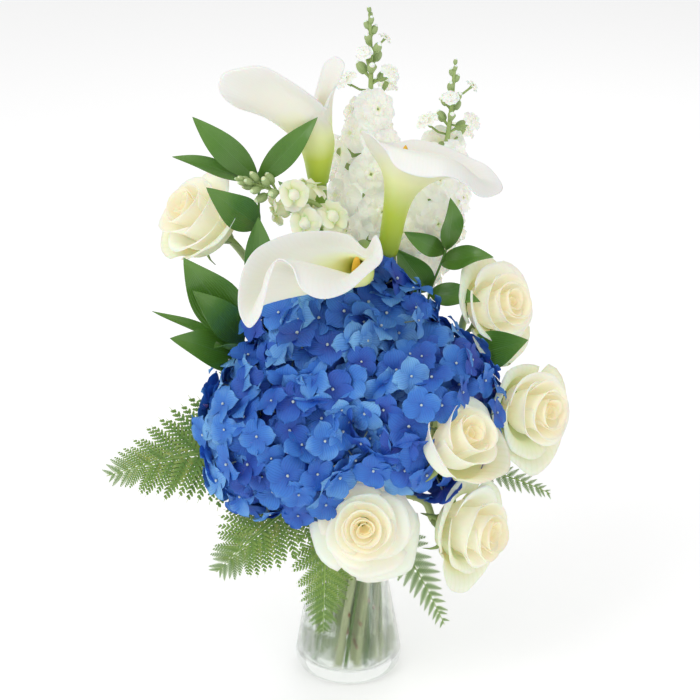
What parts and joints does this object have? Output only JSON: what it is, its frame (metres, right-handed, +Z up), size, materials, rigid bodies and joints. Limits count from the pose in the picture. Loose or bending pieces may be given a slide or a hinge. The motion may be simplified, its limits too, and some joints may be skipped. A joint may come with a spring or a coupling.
{
  "type": "hydrangeas in a vase",
  "caption": "Bouquet of blue hydrangeas with cream roses, white callas, stock, ruscus and fern, standing in water in a clear glass vase.",
  "frame": {"origin": "centre of the vase's foot, on the surface it stands on", "axes": "+Z up along the vase, -Y towards the front of the bouquet, +X to its right"},
  "size_m": [0.4073, 0.239, 0.5886],
  "materials": {
    "clear_glass": "clear pressed glass, faintly green where it is thick",
    "water": null,
    "hydrangea_blue": "matt petals with fine veins, mid blue with violet and sky-blue areas",
    "hydrangea_stem": "woody light-green stem, satin",
    "rose_cream": "soft cream petals, satin, warmer yellow in the heart",
    "rose_stem": "pale green stem with brown thorn scars",
    "calla_white": "waxy white spathe that turns lime green into its funnel",
    "spadix_yellow": "granular golden yellow spadix",
    "calla_stem": "thick smooth green stem, satin",
    "spike_stem": "grey-green stem with ribbed buds",
    "stock_white": "thin ruffled white petals",
    "snapdragon_cream": "cream petals with lime buds",
    "ruscus_leaf": "glossy green leaf with parallel veins",
    "fern_frond": "matt yellow-green divided frond"
  },
  "bodies": {
    "root": {"calla_spadix_front": "spadix_yellow", "calla_spadix_left": "spadix_yellow", "calla_spadix_right": "spadix_yellow", "calla_spathe_front": "calla_white", "calla_spathe_left": "calla_white", "calla_spathe_right": "calla_white", "calla_stem_front": "calla_stem", "calla_stem_left": "calla_stem", "calla_stem_right": "calla_stem", "fern_back_left": "fern_frond", "fern_back_right": "fern_frond", "fern_far_left": "fern_frond", "fern_front": "fern_frond", "fern_left": "fern_frond", "fern_lower_right": "fern_frond", "fern_right": "fern_frond", "hydrangea_head_left": "hydrangea_blue", "hydrangea_head_right": "hydrangea_blue", "hydrangea_head_top": "hydrangea_blue", "hydrangea_stem_left": "hydrangea_stem", "hydrangea_stem_right": "hydrangea_stem", "hydrangea_stem_top": "hydrangea_stem", "rose_bloom_front": "rose_cream", "rose_bloom_left": "rose_cream", "rose_bloom_lower_right": "rose_cream", "rose_bloom_middle_right": "rose_cream", "rose_bloom_right": "rose_cream", "rose_bloom_upper_right": "rose_cream", "rose_stem_front": "rose_stem", "rose_stem_left": "rose_stem", "rose_stem_lower_right": "rose_stem", "rose_stem_middle_right": "rose_stem", "rose_stem_right": "rose_stem", "rose_stem_upper_right": "rose_stem", "ruscus_back": "ruscus_leaf", "ruscus_far_right": "ruscus_leaf", "ruscus_left": "ruscus_leaf", "ruscus_lower_right": "ruscus_leaf", "ruscus_right": "ruscus_leaf", "ruscus_upper_left": "ruscus_leaf", "snapdragon_blossoms": "snapdragon_cream", "snapdragon_stem": "spike_stem", "stock_blossoms_left": "stock_white", "stock_blossoms_right": "stock_white", "stock_stem_left": "spike_stem", "stock_stem_right": "spike_stem", "vase": "clear_glass", "water": "water"}
  },
  "joints": []
}
